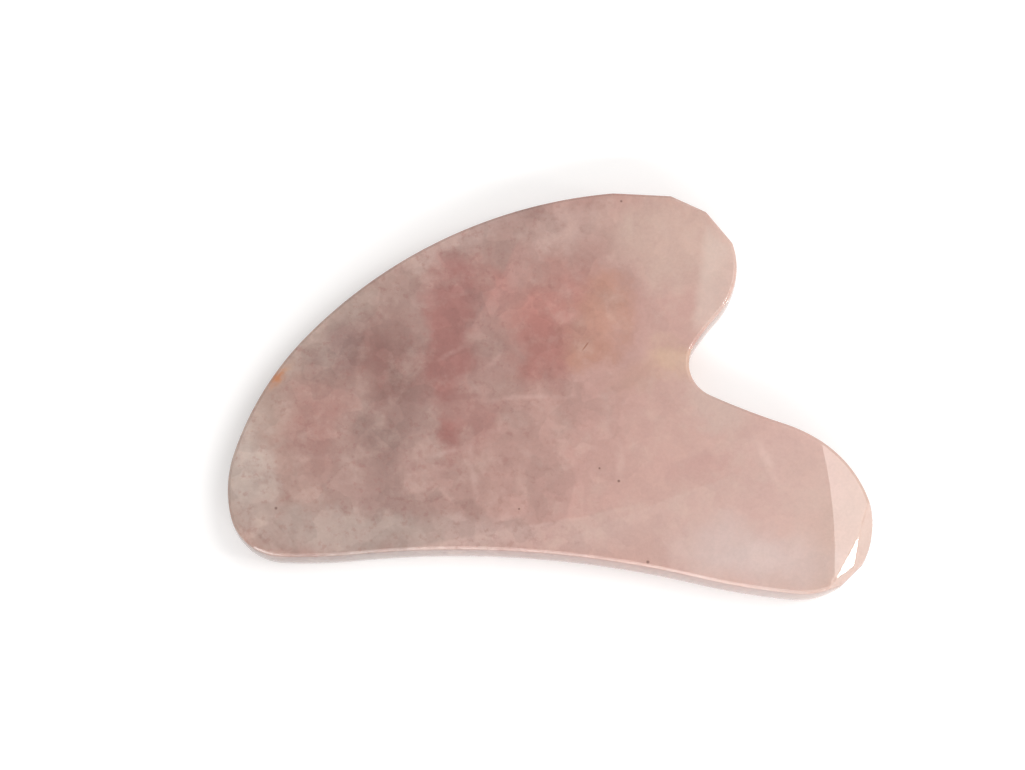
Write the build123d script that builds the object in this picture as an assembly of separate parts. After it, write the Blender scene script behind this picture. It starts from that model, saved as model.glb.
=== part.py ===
from build123d import *
import os
from math import copysign, hypot, radians, sqrt, tan
from typing import NamedTuple

os.makedirs("parts", exist_ok=True)


class Lobe(NamedTuple):
    """A round stretch of the outline, and the arc that links it to the next one.

    A positive radius bulges outwards, a negative one is hollow.
    """

    x: float
    y: float
    radius: float
    link: float  # radius of the linking arc


class Flat(NamedTuple):
    """A flat ground on the rim, which takes away what stands beyond a line."""

    angle: float  # direction of the line's normal, in degrees from +X
    reach: float  # distance of the line from the outline's origin


# Lengths are in mm. The board lies flat, with its long lower edge along X, and the outline's origin
# is the low corner of the box round its lobes.
THICKNESS = 6.0
CHAMFER_INSET = 0.3  # of the small chamfer between the rim and a face, measured on the face
CHAMFER_DROP = 0.2  # the same, measured on the rim

TOE = Lobe(7.5, 7.05, 7.05, 63.5)
WAIST = Lobe(40.1, -130.6, -133.5, 90.4)
NOSE = Lobe(74.5, 9.5, 9.5, 14.9)
BROW = Lobe(66.6, 2.85, 20.3, -92.2)
NOTCH = Lobe(63.4, 29.8, -4.5, -30.0)
EAR = Lobe(54.2, 42.55, 10.25, 63.2)
HEEL = Lobe(39.8, 4.05, 40.45, 15.2)
OUTLINE = [TOE, WAIST, NOSE, BROW, NOTCH, EAR, HEEL]
FLATS = [Flat(91.3, 51.0), Flat(69.9, 68.0), Flat(43.0, 78.25), Flat(-41.3, 59.0)]

FLAT_DEPTH = 10.0  # of the block that a flat takes away
FLAT_WIDTH = 250.0  # of the same block, so that it passes both ends of the rim

# The nose is thinned on both faces, outwards of a shallow arc.
NOSE_BEVEL_CENTRE = (16.0, 2.6)
NOSE_BEVEL_RADIUS = 63.0
NOSE_BEVEL_SLOPE = tan(radians(9))
NOSE_BEVEL_RUN = 12.0  # of the sloping part, which passes the tip of the nose


def pairs(items):
    """Each item with the one that follows it round the closed outline."""
    return list(zip(items, items[1:] + items[:1]))


def link_centre(first, second):
    """Centre of the circle of radius first.link that touches both lobes."""
    from_first = abs(first.link - first.radius)
    from_second = abs(first.link - second.radius)
    span = hypot(second.x - first.x, second.y - first.y)
    along = (from_first**2 - from_second**2 + span**2) / (2 * span)
    between = (first.link - first.radius) * (first.link - second.radius) < 0
    side = copysign(1, first.link) * (-1 if between else 1)
    across = side * sqrt(from_first**2 - along**2)
    ux = (second.x - first.x) / span
    uy = (second.y - first.y) / span
    return Vector(first.x + along * ux - across * uy, first.y + along * uy + across * ux)


def touch_point(centre, link, lobe):
    """Point where a linking circle about centre meets a lobe."""
    direction = (Vector(lobe.x, lobe.y) - centre).normalized()
    return centre + direction * copysign(link, link * (link - lobe.radius))


def arc(centre, radius, start, end):
    """Arc of a signed radius from start to end, on the side that the sign gives."""
    outwards = ((start - centre) + (end - centre)).normalized()
    return ThreePointArc(start, centre + outwards * abs(radius), end)


def section(height, inset):
    """Closed face of tangent arcs at one height, standing in from the outline."""
    lobes = [
        lobe._replace(radius=lobe.radius - inset, link=lobe.link - inset) for lobe in OUTLINE
    ]
    centres = [link_centre(lobe, following) for lobe, following in pairs(lobes)]
    starts = [touch_point(c, lobe.link, lobe) for c, lobe in zip(centres, lobes)]
    ends = [
        touch_point(c, lobe.link, following)
        for c, (lobe, following) in zip(centres, pairs(lobes))
    ]
    edges = []
    for index, lobe in enumerate(lobes):
        edges.append(arc(Vector(lobe.x, lobe.y), lobe.radius, ends[index - 1], starts[index]))
        edges.append(arc(centres[index], lobe.link, starts[index], ends[index]))
    return Pos(0, 0, height) * Face(Wire(edges))


def sawn_board():
    """The board before its flats and bevels: a straight rim with a small chamfer at each face."""
    upper = THICKNESS - CHAMFER_DROP
    return loft(
        [
            section(0, CHAMFER_INSET),
            section(CHAMFER_DROP, 0),
            section(upper, 0),
            section(THICKNESS, CHAMFER_INSET),
        ],
        ruled=True,
    )


def beyond(flat):
    """Block of everything that a rim flat takes away."""
    block = Box(FLAT_DEPTH, FLAT_WIDTH, 4 * THICKNESS, align=(Align.MIN, Align.CENTER, Align.CENTER))
    return Rot(0, 0, flat.angle) * Pos(flat.reach, 0, 0) * block


def nose_envelope():
    """Solid of revolution whose outer ring tapers like the bevelled nose."""
    tip = NOSE_BEVEL_RADIUS + NOSE_BEVEL_RUN
    drop = NOSE_BEVEL_RUN * NOSE_BEVEL_SLOPE
    profile = Polyline(
        (0, 0, 0),
        (NOSE_BEVEL_RADIUS, 0, 0),
        (tip, 0, drop),
        (tip, 0, THICKNESS - drop),
        (NOSE_BEVEL_RADIUS, 0, THICKNESS),
        (0, 0, THICKNESS),
        close=True,
    )
    return Pos(*NOSE_BEVEL_CENTRE, 0) * revolve(make_face(profile), Axis.Z)


def scraper_stone():
    """The finished board, centred over the origin and resting on z = 0."""
    board = sawn_board()
    for flat in FLATS:
        board -= beyond(flat)
    board &= nose_envelope()
    middle = board.bounding_box().center()
    return Pos(-middle.X, -middle.Y, 0) * board


export_step(scraper_stone(), "parts/scraper_stone.step")
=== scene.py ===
import math
from typing import NamedTuple

import bpy
from mathutils import Matrix, Vector, kdtree, noise
from mathutils.geometry import delaunay_2d_cdt


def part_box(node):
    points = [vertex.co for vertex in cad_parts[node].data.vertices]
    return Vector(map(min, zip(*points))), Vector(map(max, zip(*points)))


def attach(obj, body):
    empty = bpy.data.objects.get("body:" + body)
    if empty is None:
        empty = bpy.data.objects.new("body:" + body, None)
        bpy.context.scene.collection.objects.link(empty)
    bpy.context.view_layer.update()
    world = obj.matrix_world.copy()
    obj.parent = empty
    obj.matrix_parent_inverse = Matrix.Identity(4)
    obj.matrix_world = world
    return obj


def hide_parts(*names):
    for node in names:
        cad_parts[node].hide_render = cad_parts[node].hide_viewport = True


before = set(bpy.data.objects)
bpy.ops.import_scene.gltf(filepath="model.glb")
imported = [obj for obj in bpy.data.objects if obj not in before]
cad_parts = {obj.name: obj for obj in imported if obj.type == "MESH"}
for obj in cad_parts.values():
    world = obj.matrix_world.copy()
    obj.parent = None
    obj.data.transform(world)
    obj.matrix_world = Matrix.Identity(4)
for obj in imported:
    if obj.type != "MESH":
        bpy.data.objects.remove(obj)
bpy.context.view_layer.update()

LOW, HIGH = (Vector(corner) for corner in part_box("scraper_stone"))

MM = 0.001


# ---------------------------------------------------------------- the board's outline, in mm


class Lobe(NamedTuple):
    """A round stretch of the outline, and the arc that links it to the next one."""

    x: float
    y: float
    radius: float  # negative where the outline is hollow
    link: float  # signed radius of the linking arc


class Flat(NamedTuple):
    """A flat ground on the rim, where the outline would pass a line."""

    angle: float  # of the line's normal, in degrees from +X
    reach: float  # of the line, from the outline's origin


TOE = Lobe(7.5, 7.05, 7.05, 63.5)
WAIST = Lobe(40.1, -130.6, -133.5, 90.4)
NOSE = Lobe(74.5, 9.5, 9.5, 14.9)
BROW = Lobe(66.6, 2.85, 20.3, -92.2)
NOTCH = Lobe(63.4, 29.8, -4.5, -30.0)
EAR = Lobe(54.2, 42.55, 10.25, 63.2)
HEEL = Lobe(39.8, 4.05, 40.45, 15.2)
OUTLINE = [TOE, WAIST, NOSE, BROW, NOTCH, EAR, HEEL]
FLATS = [Flat(91.3, 51.0), Flat(69.9, 68.0), Flat(43.0, 78.25), Flat(-41.3, 59.0)]

THICKNESS = (HIGH.z - LOW.z) / MM
WALL_BULGE = 0.16  # how far the rim's wall stands out at its middle
WALL_HEIGHT = 2.7  # of the wall, from the middle to the chamfer
WALL_RINGS = 7
CHAMFER_RUN = 0.35  # length of the small chamfer between the wall and a face
CHAMFER_TILT = math.radians(33)  # of its normal, from upright
CORNER = 0.05  # size of the softened corners
POINT_GAP = 0.3  # between the points of a ring
FACE_GAP = 0.36  # between the points inside a flat face
FINE_GAP = 0.13  # the same, near the small facet on the nose
RIM_GAP = 0.7 * FINE_GAP  # between a ring round a face and the points inside it


def pairs(items):
    """Each item with the one that follows it round the closed outline."""
    return list(zip(items, items[1:] + items[:1]))


def link_centre(first, second):
    """Centre of the circle of radius first.link that touches both lobes."""
    from_first = abs(first.link - first.radius)
    from_second = abs(first.link - second.radius)
    run = Vector((second.x - first.x, second.y - first.y))
    along = (from_first**2 - from_second**2 + run.length_squared) / (2 * run.length)
    between = (first.link - first.radius) * (first.link - second.radius) < 0
    side = math.copysign(1, first.link) * (-1 if between else 1)
    across = side * math.sqrt(from_first**2 - along**2)
    forward = run.normalized()
    leftward = Vector((-forward.y, forward.x))
    return Vector((first.x, first.y)) + along * forward + across * leftward


def touch_point(centre, link, lobe):
    """Point where a linking circle about centre meets a lobe."""
    direction = (Vector((lobe.x, lobe.y)) - centre).normalized()
    return centre + direction * math.copysign(link, link * (link - lobe.radius))


def arcs(inset):
    """The outline's arcs, as (centre, signed radius, start, end), for a section that is inset."""
    lobes = [
        lobe._replace(radius=lobe.radius - inset, link=lobe.link - inset)
        for lobe in OUTLINE
    ]
    centres = [link_centre(lobe, following) for lobe, following in pairs(lobes)]
    starts = [touch_point(c, lobe.link, lobe) for c, lobe in zip(centres, lobes)]
    ends = [
        touch_point(c, lobe.link, following)
        for c, (lobe, following) in zip(centres, pairs(lobes))
    ]
    chain = []
    for index, lobe in enumerate(lobes):
        middle = Vector((lobe.x, lobe.y))
        chain.append((middle, lobe.radius, ends[index - 1], starts[index]))
        chain.append((centres[index], lobe.link, starts[index], ends[index]))
    return chain


def arc_turn(arc):
    """Angle that an arc turns through."""
    centre, _, start, end = arc
    return (start - centre).angle(end - centre)


def flattened(point, inset):
    """A point of a section that is inset, moved back to the flats if it passes them."""
    for flat in FLATS:
        angle = math.radians(flat.angle)
        normal = Vector((math.cos(angle), math.sin(angle)))
        point = point - normal * max(0.0, point.dot(normal) - flat.reach + inset)
    return point


def loop_points(inset, counts):
    """Points round one section, with the same number on each arc of every section."""
    points = []
    for arc, count in zip(arcs(inset), counts):
        centre, radius, start, _ = arc
        turn = math.copysign(arc_turn(arc), radius)
        for step in range(count):
            points.append(centre + Matrix.Rotation(turn * step / count, 2) @ (start - centre))
    return [flattened(point, inset) for point in points]


# ------------------------------------------------------ hand grinding, in mm from the box's middle


class Bevel(NamedTuple):
    """A facet that thins one end of the board on both faces, outwards of a shallow arc."""

    centre: Vector
    radius: float
    slope: float
    softness: float


class Chamfer(NamedTuple):
    """A small flat across the corner of the rim on the upper face."""

    through: Vector
    azimuth: float  # of its normal, in degrees from +X
    tilt: float  # of its normal, in degrees from upright


NOSE_BEVEL = Bevel(Vector((-26.0, -23.5)), 63.0, math.tan(math.radians(9)), 0.04)
EAR_BEVEL = Bevel(Vector((-27.0, 9.2)), 45.2, math.tan(math.radians(3)), 1.4)
EAR_BEVEL_FADE = 4.0  # distance over which the ear's bevel starts, from the middle line
# The leaf-shaped facet on the nose, and the two flats that fall away outside it.
NOSE_FACET = [
    Chamfer(Vector((38.54, -20.77, 5.73)), -19.4, 36.0),
    Chamfer(Vector((39.85, -19.64, 5.11)), -11.4, 58.0),
    Chamfer(Vector((38.38, -22.77, 5.37)), -36.1, 58.0),
]
FINE_CENTRE = Vector((38.9, -20.9))
FINE_RADIUS = 4.4
CREASE_ROWS = (-0.07, 0.0, 0.07)  # rows of points along the nose bevel's edge
CREASE_GAP = 2 * FINE_GAP  # between the nose bevel's edge and the points off it
WAVE_SIZE = 9.0
WAVE_HEIGHT = 0.012


def bevel_drop(bevel, spot):
    """How far a bevel lowers the face at a spot."""
    beyond = (spot - bevel.centre).length - bevel.radius
    return bevel.slope * (beyond + math.hypot(beyond, bevel.softness)) / 2


def chamfered(chamfer, point):
    """A point moved back to a chamfer if it stands proud of it."""
    azimuth = math.radians(chamfer.azimuth)
    tilt = math.radians(chamfer.tilt)
    out = math.sin(tilt)
    normal = Vector((math.cos(azimuth) * out, math.sin(azimuth) * out, math.cos(tilt)))
    return point - normal * max(0.0, (point - chamfer.through).dot(normal))


def ground(point):
    """A point of the board after hand grinding and polishing."""
    half = THICKNESS / 2
    drop = bevel_drop(NOSE_BEVEL, point.xy)
    if point.y > 0:
        drop += bevel_drop(EAR_BEVEL, point.xy) * min(1.0, point.y / EAR_BEVEL_FADE)
    wave = WAVE_HEIGHT * noise.noise(point / WAVE_SIZE)
    height = (point.z - half) * (1 - (drop - wave) / half)
    moved = Vector((point.x, point.y, half + height))
    for chamfer in NOSE_FACET:
        moved = chamfered(chamfer, moved)
    return moved


# ---------------------------------------------------------------- the board's mesh


def edge_profile():
    """The rim's half section, as (inset, height above the middle), from the middle to a face."""
    profile = [
        Vector((WALL_BULGE * (step / WALL_RINGS) ** 2, WALL_HEIGHT * step / WALL_RINGS))
        for step in range(WALL_RINGS + 1)
    ]
    start = profile[-1] + Vector((CORNER / 3, CORNER))
    run = CHAMFER_RUN * Vector((math.cos(CHAMFER_TILT), math.sin(CHAMFER_TILT)))
    profile += [start + run * share for share in (0.0, 0.15, 0.5, 0.85, 1.0)]
    face_edge = Vector((profile[-1].x + CORNER, THICKNESS / 2))
    return profile + [face_edge, face_edge + Vector((CORNER, 0))]


def edge_rings():
    """Rings of points from the lower face, over the rim, to the upper face."""
    counts = [
        max(2, round(arc_turn(arc) * abs(arc[1]) / POINT_GAP))
        for arc in arcs(0.0)
    ]
    upper = edge_profile()
    lower = [Vector((inset, -height)) for inset, height in reversed(upper[1:])]
    rings = []
    for inset, height in lower + upper:
        level = Vector((0, 0, THICKNESS / 2 + height))
        rings.append([point.to_3d() + level for point in loop_points(inset, counts)])
    return rings


def staggered(low, high, gap):
    """Points of a staggered grid over a rectangle."""
    row_gap = gap * math.sqrt(3) / 2
    for row in range(int((high.y - low.y) / row_gap)):
        for column in range(int((high.x - low.x) / gap)):
            yield low + Vector(((column + 0.5 * (row % 2)) * gap, row * row_gap))


def crease_points(centre, high):
    """Rows of points along the nose bevel's edge, so that it stays crisp."""
    rows = []
    for offset in CREASE_ROWS:
        radius = NOSE_BEVEL.radius + offset
        step = FINE_GAP / radius
        for index in range(int((high.y - centre.y) / FINE_GAP)):
            turn = step * index
            rows.append(centre + radius * Vector((math.cos(turn), math.sin(turn))))
    return rows


def face_grid(rim, middle):
    """Points inside a face, clear of its rim: even, and finer near the small facet on the nose."""
    tree = kdtree.KDTree(len(rim))
    for index, point in enumerate(rim):
        tree.insert((point.x, point.y, 0), index)
    tree.balance()
    low = Vector((min(p.x for p in rim), min(p.y for p in rim)))
    high = Vector((max(p.x for p in rim), max(p.y for p in rim)))
    crease_centre = middle + NOSE_BEVEL.centre
    fine_centre = middle + FINE_CENTRE
    fine_reach = Vector((FINE_RADIUS, FINE_RADIUS))
    coarse = [
        point for point in staggered(low, high, FACE_GAP)
        if (point - fine_centre).length > FINE_RADIUS
    ]
    fine = [
        point for point in staggered(fine_centre - fine_reach, fine_centre + fine_reach, FINE_GAP)
        if (point - fine_centre).length <= FINE_RADIUS
    ]
    off_crease = [
        point for point in coarse + fine
        if abs((point - crease_centre).length - NOSE_BEVEL.radius) > CREASE_GAP
    ]
    return [
        point for point in off_crease + crease_points(crease_centre, high)
        if tree.find(point.to_3d())[2] > RIM_GAP
    ]


def fill_face(rim, middle):
    """Triangles over a flat face: its inner points, and triangles that count the rim first."""
    outline = [point.xy for point in rim]
    spots = outline + face_grid(rim, middle)
    border = list(range(len(outline)))
    found = delaunay_2d_cdt(spots, [], [border], 1, 1e-6)
    places, triangles, origins = found[0], found[2], found[3]
    index_of = {}
    extra = []
    for place, sources in enumerate(origins):
        on_rim = [s for s in sources if s < len(outline)]
        if on_rim:
            index_of[place] = on_rim[0]
    for triangle in triangles:
        for place in triangle:
            if place not in index_of:
                index_of[place] = len(outline) + len(extra)
                extra.append(places[place])
    return extra, [[index_of[place] for place in triangle] for triangle in triangles]


def board_mesh():
    """The whole board as one closed mesh, centred on its box."""
    rings = edge_rings()
    size = len(rings[0])
    points = [point for ring in rings for point in ring]
    faces = []
    for ring in range(len(rings) - 1):
        for spot in range(size):
            after = (spot + 1) % size
            faces.append((
                ring * size + spot,
                ring * size + after,
                (ring + 1) * size + after,
                (ring + 1) * size + spot,
            ))
    middle_ring = rings[len(rings) // 2]
    middle = Vector((
        (min(p.x for p in middle_ring) + max(p.x for p in middle_ring)) / 2,
        (min(p.y for p in middle_ring) + max(p.y for p in middle_ring)) / 2,
    ))
    extra, triangles = fill_face(rings[-1], middle)
    for level, height, flipped in ((0, 0.0, True), (len(rings) - 1, THICKNESS, False)):
        first = len(points)
        points.extend(Vector((p.x, p.y, height)) for p in extra)
        for triangle in triangles:
            corners = [
                level * size + i if i < size else first + i - size
                for i in triangle
            ]
            faces.append(tuple(reversed(corners)) if flipped else tuple(corners))
    centre = middle.to_3d()
    anchor = Vector(((LOW.x + HIGH.x) / 2, (LOW.y + HIGH.y) / 2, LOW.z))
    mesh = bpy.data.meshes.new("polished_stone")
    mesh.from_pydata([anchor + ground(p - centre) * MM for p in points], [], faces)
    mesh.validate()
    mesh.shade_smooth()
    return mesh


# ---------------------------------------------------------------- material


THROUGH = 40.0  # reach of an inclusion, in mm, that goes right through the board
WAVER_SCALE = 0.16  # of the noise that bends the borders of the inclusions
WAVER = (9.0, 9.0, 4.0)  # how far it bends them, in mm


def srgb(red, green, blue):
    """Linear colour from an 8-bit display colour."""
    channels = []
    for value in (red, green, blue):
        share = value / 255
        channels.append(share / 12.92 if share <= 0.04045 else ((share + 0.055) / 1.055) ** 2.4)
    return (*channels, 1.0)


class Graph:
    """A short way to write a material's nodes."""

    def __init__(self, material):
        self.tree = material.node_tree
        self.shader = self.tree.nodes["Principled BSDF"]

    def add(self, kind, **settings):
        node = self.tree.nodes.new("ShaderNode" + kind)
        for name, value in settings.items():
            setattr(node, name, value)
        return node

    def feed(self, socket, value):
        if isinstance(value, bpy.types.NodeSocket):
            self.tree.links.new(value, socket)
        else:
            socket.default_value = value

    def math(self, operation, first, second=0.0, third=0.0):
        node = self.add("Math", operation=operation)
        for socket, value in zip(node.inputs, (first, second, third)):
            self.feed(socket, value)
        return node.outputs[0]

    def vector(self, operation, first, second):
        node = self.add("VectorMath", operation=operation)
        self.feed(node.inputs[0], first)
        self.feed(node.inputs[1], second)
        return node.outputs[0]

    def mix(self, share, first, second):
        node = self.add("Mix", data_type="RGBA")
        self.feed(node.inputs["Factor"], share)
        self.feed(node.inputs[6], first)
        self.feed(node.inputs[7], second)
        return node.outputs[2]

    def remap(self, value, low, high, bottom=0.0, top=1.0):
        node = self.add("MapRange", interpolation_type="SMOOTHSTEP")
        for name, item in (("From Min", low), ("From Max", high), ("To Min", bottom), ("To Max", top)):
            node.inputs[name].default_value = item
        self.feed(node.inputs["Value"], value)
        return node.outputs[0]

    def noise(self, place, scale, detail=3.0, roughness=0.5):
        node = self.add("TexNoise")
        self.feed(node.inputs["Vector"], place)
        node.inputs["Scale"].default_value = scale
        node.inputs["Detail"].default_value = detail
        node.inputs["Roughness"].default_value = roughness
        return node.outputs

    def place(self, location, angle=0.0, size=(1.0, 1.0, 1.0), of=None):
        """Coordinates about a place in mm, turned by an angle and measured in shares of a size."""
        node = self.add("Mapping", vector_type="TEXTURE")
        node.inputs["Location"].default_value = (*location, THICKNESS / 2)
        node.inputs["Rotation"].default_value = (0.0, 0.0, math.radians(angle))
        node.inputs["Scale"].default_value = size
        self.feed(node.inputs["Vector"], of)
        return node.outputs[0]

    def blob(self, of, location, size, angle=0.0, soft=0.6):
        """1 inside an ellipse, falling to 0 at its edge; the ellipse reaches through the board."""
        spot = self.place(location, angle, (*size, THROUGH), of)
        node = self.add("VectorMath", operation="LENGTH")
        self.feed(node.inputs[0], spot)
        return self.remap(node.outputs["Value"], 1.0, 1.0 - soft)

    def distance(self, first, second):
        node = self.add("VectorMath", operation="DISTANCE")
        self.feed(node.inputs[0], first)
        self.feed(node.inputs[1], second)
        return node.outputs["Value"]

    def axis(self, vector, name):
        node = self.add("SeparateXYZ")
        self.feed(node.inputs[0], vector)
        return node.outputs[name]


def stone_places(graph):
    """Board coordinates in mm from the box's middle: plain, and wavered for soft borders."""
    coordinates = graph.add("TexCoord").outputs["Object"]
    middle = Vector(((LOW.x + HIGH.x) / 2, (LOW.y + HIGH.y) / 2, LOW.z))
    plain = graph.vector("SUBTRACT", coordinates, tuple(middle))
    scaled = graph.vector("MULTIPLY", plain, (1 / MM,) * 3)
    colour = graph.noise(scaled, WAVER_SCALE, 4.0, 0.6)["Color"]
    shift = graph.vector("SUBTRACT", colour, (0.5, 0.5, 0.5))
    wavered = graph.vector("ADD", scaled, graph.vector("MULTIPLY", shift, WAVER))
    return scaled, wavered


GROUND_TILT = -14.0  # degrees, of the line that the ground colours follow
# Ground colours along the board, as shares of its length from the toe to the nose.
GROUND_COLOURS = [
    (0.00, srgb(184, 162, 150)),
    (0.12, srgb(177, 146, 136)),
    (0.26, srgb(170, 139, 131)),
    (0.42, srgb(180, 144, 135)),
    (0.56, srgb(194, 155, 146)),
    (0.70, srgb(204, 168, 158)),
    (0.86, srgb(211, 177, 168)),
    (1.00, srgb(209, 181, 169)),
]


def ground_colour(graph, wavered):
    """The slow change of colour from the toe to the nose."""
    ramp = graph.add("ValToRGB")
    stops = ramp.color_ramp.elements
    while len(stops) < len(GROUND_COLOURS):
        stops.new(0.5)
    for stop, (share, colour) in zip(stops, GROUND_COLOURS):
        stop.position = share
        stop.color = colour
    length = (HIGH.x - LOW.x) / MM
    tilted = graph.place((-length / 2, 0.0), GROUND_TILT, (length, length, length), wavered)
    graph.feed(ramp.inputs[0], graph.axis(tilted, "X"))
    return ramp.outputs[0]


class Patch(NamedTuple):
    """An area of its own colour inside the stone."""

    colour: tuple
    location: tuple
    size: tuple
    angle: float
    soft: float
    strength: float


PATCHES = [
    # pale greenish rim along the back and the toe
    Patch(srgb(194, 177, 168), (-40.8, -13.0), (5.6, 14.0), 16.0, 0.7, 0.8),
    Patch(srgb(182, 162, 152), (-31.5, 4.5), (14.0, 4.6), 47.0, 0.7, 0.6),
    Patch(srgb(186, 158, 150), (-16.0, 18.0), (15.0, 4.6), 30.0, 0.8, 0.8),
    Patch(srgb(182, 162, 153), (-25.0, -22.6), (21.0, 5.0), 2.0, 0.7, 0.85),
    # dusky middle
    Patch(srgb(151, 122, 117), (-28.0, 2.0), (7.0, 5.0), 40.0, 0.9, 0.75),
    Patch(srgb(147, 108, 101), (-22.5, 0.0), (8.5, 9.0), 10.0, 0.9, 0.9),
    Patch(srgb(155, 124, 116), (-22.5, -10.5), (4.6, 8.5), -6.0, 0.7, 0.6),
    Patch(srgb(168, 127, 119), (-31.0, -8.5), (6.2, 8.0), 0.0, 0.7, 0.85),
    Patch(srgb(172, 120, 114), (-14.6, 12.0), (5.4, 5.5), -14.0, 0.7, 0.85),
    Patch(srgb(166, 114, 108), (-15.0, 6.5), (4.0, 5.0), 0.0, 0.7, 0.8),
    Patch(srgb(161, 111, 105), (-14.4, 0.5), (5.2, 9.5), 6.0, 0.8, 0.9),
    Patch(srgb(156, 107, 101), (-10.0, -6.6), (4.6, 5.0), 10.0, 0.8, 0.85),
    Patch(srgb(184, 128, 119), (-1.5, 9.5), (9.0, 7.5), 40.0, 0.7, 0.85),
    Patch(srgb(174, 119, 111), (-2.8, 3.6), (6.4, 6.6), 0.0, 0.7, 0.85),
    Patch(srgb(182, 144, 136), (-9.2, 0.6), (3.2, 5.4), -32.0, 0.8, 0.6),
    Patch(srgb(160, 103, 97), (-13.8, -8.6), (2.8, 3.4), 0.0, 0.8, 0.8),
    Patch(srgb(183, 127, 119), (-9.6, 12.0), (4.2, 4.8), 60.0, 0.8, 0.6),
    # cream and tan of the upper lobe and the notch
    Patch(srgb(208, 178, 166), (13.0, 20.0), (12.0, 9.5), 0.0, 0.7, 0.85),
    Patch(srgb(194, 146, 128), (5.2, 9.5), (4.6, 6.5), 10.0, 0.8, 0.8),
    Patch(srgb(184, 137, 120), (3.0, 4.6), (4.2, 3.8), 0.0, 0.8, 0.8),
    Patch(srgb(210, 176, 154), (15.0, 3.6), (5.5, 4.2), -20.0, 0.8, 0.8),
    Patch(srgb(196, 157, 143), (10.0, 1.5), (6.0, 3.2), 0.0, 0.8, 0.6),
    Patch(srgb(206, 180, 170), (20.0, -2.4), (6.5, 3.6), -20.0, 0.8, 0.7),
    Patch(srgb(198, 168, 159), (-1.6, 19.6), (8.5, 4.2), 20.0, 0.8, 0.7),
    # lighter lower edge and greyer right end
    Patch(srgb(200, 170, 162), (-8.0, -21.2), (10.0, 3.4), 3.0, 0.8, 0.6),
    Patch(srgb(215, 193, 187), (26.0, -21.8), (15.0, 6.4), -8.0, 0.9, 0.9),
    Patch(srgb(202, 160, 152), (19.0, -11.0), (9.0, 4.0), 10.0, 0.9, 0.5),
]


def patched(graph, colour, wavered):
    """The ground colour with every patch laid over it."""
    for patch in PATCHES:
        cover = graph.blob(wavered, patch.location, patch.size, patch.angle, patch.soft)
        colour = graph.mix(graph.math("MULTIPLY", cover, patch.strength), colour, patch.colour)
    return colour


class Veil(NamedTuple):
    """A thin pale crack or cloud that shows as a line on the face."""

    colour: tuple
    location: tuple
    length: float
    width: float
    angle: float
    strength: float


VEILS = [
    Veil(srgb(204, 168, 159), (-8.2, 11.5), 9.5, 1.5, 61.0, 0.12),
    Veil(srgb(208, 176, 167), (-5.0, -3.0), 9.5, 0.6, 6.0, 0.26),
    Veil(srgb(204, 174, 165), (-10.2, -13.0), 7.0, 0.9, 98.0, 0.3),
    Veil(srgb(196, 166, 158), (-14.0, -10.6), 4.5, 0.5, 14.0, 0.35),
    Veil(srgb(226, 198, 190), (27.5, -8.6), 5.0, 0.9, -58.0, 0.3),
    Veil(srgb(214, 184, 175), (8.6, -10.6), 4.0, 0.9, 92.0, 0.3),
    Veil(srgb(204, 166, 158), (-14.2, 2.4), 2.6, 0.6, 30.0, 0.3),
    Veil(srgb(204, 168, 160), (-9.0, 1.8), 2.6, 0.7, 55.0, 0.24),
]


class Sheet(NamedTuple):
    """A cleavage plane: the stone is paler on the lower side of a slanting line."""

    colour: tuple
    location: tuple
    angle: float
    edge: float  # half the width of its sharp side
    reach: float
    fade: float
    strength: float


SHEETS = [
    Sheet(srgb(209, 178, 169), (-3.7, -20.0), 15.0, 0.25, 20.0, 8.0, 0.5),
    Sheet(srgb(212, 182, 173), (13.0, -16.0), 25.0, 0.25, 17.0, 6.0, 0.4),
    Sheet(srgb(190, 151, 142), (-5.5, -3.1), 6.0, 0.25, 11.0, 10.0, 0.5),
    Sheet(srgb(198, 147, 139), (-9.4, 12.0), 66.0, 0.25, 9.5, 5.0, 0.36),
    Sheet(srgb(222, 205, 194), (17.4, 15.0), 85.0, 0.8, 9.0, 12.0, 0.46),
]


def sheeted(graph, colour, scaled, wavered):
    """Cleavage planes, crisp on their upper side and fading below."""
    nearly_straight = graph.mix(0.18, scaled, wavered)
    for sheet in SHEETS:
        spot = graph.place(sheet.location, sheet.angle, of=nearly_straight)
        across = graph.axis(spot, "Y")
        below = graph.remap(across, sheet.edge, -sheet.edge)
        fading = graph.remap(across, -sheet.fade, 0.0)
        from_middle = graph.math("ABSOLUTE", graph.axis(spot, "X"))
        along = graph.remap(from_middle, sheet.reach, 0.5 * sheet.reach)
        cover = graph.math("MULTIPLY", graph.math("MULTIPLY", below, fading), along)
        colour = graph.mix(graph.math("MULTIPLY", cover, sheet.strength), colour, sheet.colour)
    return colour


def veiled(graph, colour, wavered, scaled):
    """Pale veils, broken up along their length."""
    breaks = graph.remap(graph.noise(scaled, 0.9, 3.0)["Fac"], 0.3, 0.6, 0.4, 1.0)
    halfway = graph.mix(0.25, scaled, wavered)
    for veil in VEILS:
        line = graph.blob(halfway, veil.location, (veil.length, veil.width), veil.angle, 0.9)
        share = graph.math("MULTIPLY", graph.math("MULTIPLY", line, breaks), veil.strength)
        colour = graph.mix(share, colour, veil.colour)
    return colour


DEPTH_OF_COLOUR = 0.91  # brightness of the whole stone
ELSEWHERE = (60.0, 30.0)  # a shift, in mm, that gives a second noise unlike the first


def plates(graph, place, scale, depth):
    """Change of brightness from one crystal plate to the next."""
    node = graph.add("TexVoronoi", feature="SMOOTH_F1")
    graph.feed(node.inputs["Vector"], place)
    node.inputs["Scale"].default_value = scale
    node.inputs["Smoothness"].default_value = 0.2
    return graph.remap(graph.axis(node.outputs["Color"], "X"), 0.15, 0.85, -depth, depth)


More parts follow.
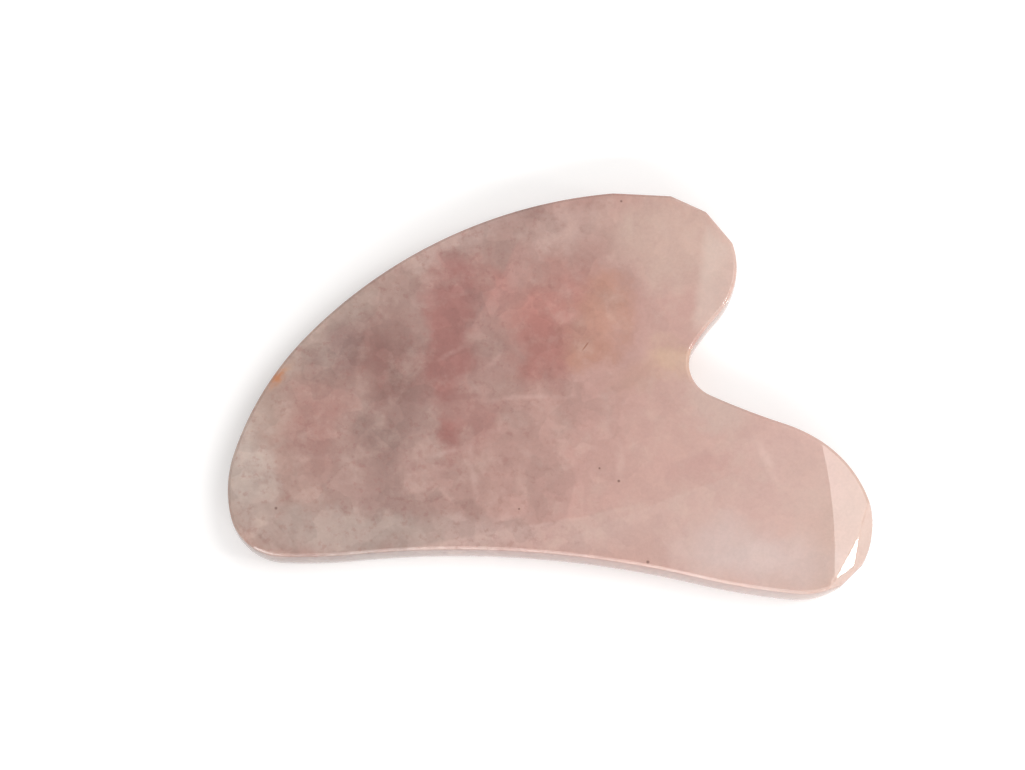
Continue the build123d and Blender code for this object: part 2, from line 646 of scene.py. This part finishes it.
def clouded(graph, colour, scaled, wavered):
    """Fine mottling of the crystal: pale clouds, dusky blotches, angular plates and grain."""
    clouds = graph.remap(graph.noise(scaled, 0.28, 6.0, 0.62)["Fac"], 0.45, 0.75)
    colour = graph.mix(graph.math("MULTIPLY", clouds, 0.28), colour, srgb(214, 190, 178))
    away = graph.place(ELSEWHERE, of=scaled)
    blotches = graph.remap(graph.noise(away, 0.4, 6.0, 0.65)["Fac"], 0.5, 0.72)
    leftwards = graph.remap(graph.axis(scaled, "X"), -12.0, 14.0, 0.3, 0.04)
    colour = graph.mix(graph.math("MULTIPLY", blotches, leftwards), colour, srgb(152, 112, 106))
    flecks = graph.remap(graph.noise(away, 1.1, 5.0, 0.6)["Fac"], 0.54, 0.68)
    colour = graph.mix(graph.math("MULTIPLY", flecks, leftwards), colour, srgb(156, 106, 100))
    grain = graph.remap(graph.noise(scaled, 2.6, 4.0, 0.7)["Fac"], 0.3, 0.7, -0.025, 0.025)
    mottle = graph.remap(graph.noise(away, 0.9, 6.0, 0.7)["Fac"], 0.35, 0.65, -0.025, 0.025)
    bent = graph.mix(0.35, scaled, wavered)
    angular = graph.math("ADD", plates(graph, bent, 0.17, 0.05), plates(graph, bent, 0.45, 0.045))
    uneven = graph.math("ADD", angular, mottle)
    fading = graph.remap(graph.axis(scaled, "X"), -12.0, 22.0, 1.0, 0.3)
    change = graph.math("MULTIPLY_ADD", uneven, fading, grain)
    node = graph.add("HueSaturation")
    graph.feed(node.inputs["Color"], colour)
    graph.feed(node.inputs["Value"], graph.math("ADD", change, DEPTH_OF_COLOUR))
    return node.outputs[0]


# Dark specks in the upper face, as (x, y, radius).
SPECKS = [
    (-35.3, -19.8, 0.28),
    (-10.4, -23.7, 0.45),
    (13.0, -23.3, 0.3),
    (8.6, -13.0, 0.26),
    (6.0, -11.5, 0.2),
    (-4.0, -17.6, 0.2),
    (6.5, 24.7, 0.22),
]


def speckled(graph, colour, scaled):
    """Dark specks, a brown tick and the rusty stain on the back of the toe."""
    for x, y, radius in SPECKS:
        speck = graph.remap(graph.distance(scaled, (x, y, THICKNESS)), radius, 0.3 * radius)
        colour = graph.mix(graph.math("MULTIPLY", speck, 0.75), colour, srgb(112, 82, 74))
    tick = graph.blob(scaled, (3.1, 4.6), (1.0, 0.15), 58.0, 0.7)
    colour = graph.mix(graph.math("MULTIPLY", tick, 0.7), colour, srgb(146, 92, 70))
    ragged = graph.remap(graph.noise(scaled, 1.3, 4.0)["Fac"], 0.35, 0.6, 0.3, 1.0)
    smear = graph.blob(scaled, (-36.6, -2.4), (3.6, 1.3), 54.0, 0.9)
    colour = graph.mix(
        graph.math("MULTIPLY", graph.math("MULTIPLY", smear, ragged), 0.6), colour, srgb(190, 146, 118)
    )
    stain = graph.blob(scaled, (-36.7, -2.6), (2.0, 0.9), 56.0, 0.9)
    return graph.mix(
        graph.math("MULTIPLY", graph.math("MULTIPLY", stain, ragged), 0.9), colour, srgb(182, 122, 86)
    )


def rim_painted_shade(graph, colour):
    """The rim's wall, darkened in its colour: painted shade standing in for the dimmer light on the
    side walls.
    """
    upright = graph.math("ABSOLUTE", graph.axis(graph.add("TexCoord").outputs["Normal"], "Z"))
    node = graph.add("HueSaturation")
    graph.feed(node.inputs["Fac"], graph.remap(upright, 0.5, 0.2))
    graph.feed(node.inputs["Color"], colour)
    # painted shade: the side wall keeps 72 % of its brightness
    node.inputs["Value"].default_value = 0.72
    return node.outputs[0]


def polish(graph, scaled):
    """Roughness of a hand-polished stone, duller in faint smudges."""
    smudges = graph.noise(scaled, 0.12, 3.0)["Fac"]
    return graph.remap(smudges, 0.3, 0.75, 0.06, 0.13)


def stone_material():
    """Polished rose quartz."""
    material = bpy.data.materials.new("rose_quartz")
    material.use_nodes = True
    graph = Graph(material)
    scaled, wavered = stone_places(graph)
    colour = ground_colour(graph, wavered)
    colour = patched(graph, colour, wavered)
    colour = sheeted(graph, colour, scaled, wavered)
    colour = clouded(graph, colour, scaled, wavered)
    colour = veiled(graph, colour, wavered, scaled)
    colour = speckled(graph, colour, scaled)
    # painted shade on the rim's wall, by the direction of its surface
    colour = rim_painted_shade(graph, colour)
    graph.feed(graph.shader.inputs["Base Color"], colour)
    graph.feed(graph.shader.inputs["Roughness"], polish(graph, scaled))
    graph.shader.inputs["IOR"].default_value = 1.54
    graph.shader.inputs["Subsurface Weight"].default_value = 0.4
    graph.shader.inputs["Subsurface Radius"].default_value = (1.0, 0.8, 0.7)
    graph.shader.inputs["Subsurface Scale"].default_value = 1.6 * MM
    bump = graph.add("Bump")
    bump.inputs["Strength"].default_value = 0.15
    bump.inputs["Distance"].default_value = 0.02 * MM
    graph.feed(bump.inputs["Height"], graph.noise(scaled, 1.5, 4.0)["Fac"])
    graph.feed(graph.shader.inputs["Normal"], bump.outputs[0])
    return material


def stone_board():
    """The visible board, in place of the CAD solid."""
    mesh = board_mesh()
    mesh.materials.append(stone_material())
    board = bpy.data.objects.new("polished_stone", mesh)
    bpy.context.scene.collection.objects.link(board)
    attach(board, "root")
    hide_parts("scraper_stone")
    return board


# ---------------------------------------------------------------- floor, light and camera

VIEW_AZIMUTH = 4.2  # degrees; the camera's right is turned this far from +X towards +Y
VIEW_ELEVATION = 77.0
VIEW_DISTANCE = 350 * MM
SENSOR = 36.0
LENS = 93.4
# Middle of the view, from the middle of the box.
AIM = Vector((-6.1, -0.6, 0.0)) * MM

FLOOR_REACH = 6.0  # half the floor's side, in metres
FLOOR_GAP = 0.02 * MM  # keeps the floor just under the board
FLOOR_GLOW = 0.15  # lifts the floor's shadows, as a lit white sweep does
WORLD_STRENGTH = 0.6


def floor():
    """A plain near-white floor under the board."""
    mesh = bpy.data.meshes.new("floor")
    corners = [
        (x * FLOOR_REACH, y * FLOOR_REACH, LOW.z - FLOOR_GAP)
        for x, y in ((-1, -1), (1, -1), (1, 1), (-1, 1))
    ]
    mesh.from_pydata(corners, [], [(0, 1, 2, 3)])
    material = bpy.data.materials.new("floor")
    material.use_nodes = True
    shader = material.node_tree.nodes["Principled BSDF"]
    shader.inputs["Base Color"].default_value = (0.93, 0.925, 0.925, 1.0)
    shader.inputs["Roughness"].default_value = 0.8
    shader.inputs["Specular IOR Level"].default_value = 0.0
    shader.inputs["Emission Color"].default_value = (1.0, 1.0, 1.0, 1.0)
    shader.inputs["Emission Strength"].default_value = FLOOR_GLOW
    mesh.materials.append(material)
    plane = bpy.data.objects.new("floor", mesh)
    bpy.context.scene.collection.objects.link(plane)


def direction(azimuth, elevation):
    """Unit vector; azimuth is from the camera's right towards its far side, both in degrees."""
    turn = math.radians(azimuth + VIEW_AZIMUTH)
    rise = math.radians(elevation)
    return Vector((math.cos(turn) * math.cos(rise), math.sin(turn) * math.cos(rise), math.sin(rise)))


def soft_light(name, azimuth, elevation, distance, width, height, radiance, colour):
    """A rectangular light that faces the board."""
    light = bpy.data.lights.new(name, "AREA")
    light.shape = "RECTANGLE"
    light.size = width
    light.size_y = height
    light.energy = radiance * math.pi * width * height
    light.color = colour
    lamp = bpy.data.objects.new(name, light)
    way = direction(azimuth, elevation)
    lamp.location = way * distance
    lamp.rotation_euler = way.to_track_quat("Z", "Y").to_euler()
    bpy.context.scene.collection.objects.link(lamp)


def world_light():
    """Even pale light from all sides."""
    world = bpy.data.worlds.new("studio")
    world.use_nodes = True
    shade = world.node_tree.nodes["Background"]
    shade.inputs["Color"].default_value = (1.0, 0.99, 0.98, 1.0)
    shade.inputs["Strength"].default_value = WORLD_STRENGTH
    bpy.context.scene.world = world


def lights():
    """A soft key from the back right, a low window on the right and a strip light at the front."""
    world_light()
    warm = (1.0, 0.985, 0.97)
    soft_light("key", 15.0, 54.0, 1.2, 0.72, 0.72, 3.6, warm)
    soft_light("low_window", -12.0, 14.6, 1.5, 0.18, 0.18, 32.0, warm)
    soft_light("front_strip", -90.0, 37.0, 1.3, 2.0, 0.17, 8.6, (1.0, 1.0, 1.0))


def camera():
    """The photograph's viewpoint: high in front of the lower edge."""
    data = bpy.data.cameras.new("camera")
    data.sensor_width = SENSOR
    data.lens = LENS
    data.clip_start = 0.01
    data.clip_end = 20.0
    eye = bpy.data.objects.new("camera", data)
    back = direction(-90.0, VIEW_ELEVATION)
    target = Vector(((LOW.x + HIGH.x) / 2, (LOW.y + HIGH.y) / 2, (LOW.z + HIGH.z) / 2)) + AIM
    eye.location = target + back * VIEW_DISTANCE
    right = direction(0.0, 0.0)
    up = back.cross(right)
    eye.rotation_euler = Matrix((right, up, back)).transposed().to_euler()
    bpy.context.scene.collection.objects.link(eye)
    bpy.context.scene.camera = eye


camera()
floor()
lights()
stone_board()
bpy.context.scene.view_settings.view_transform = "Standard"
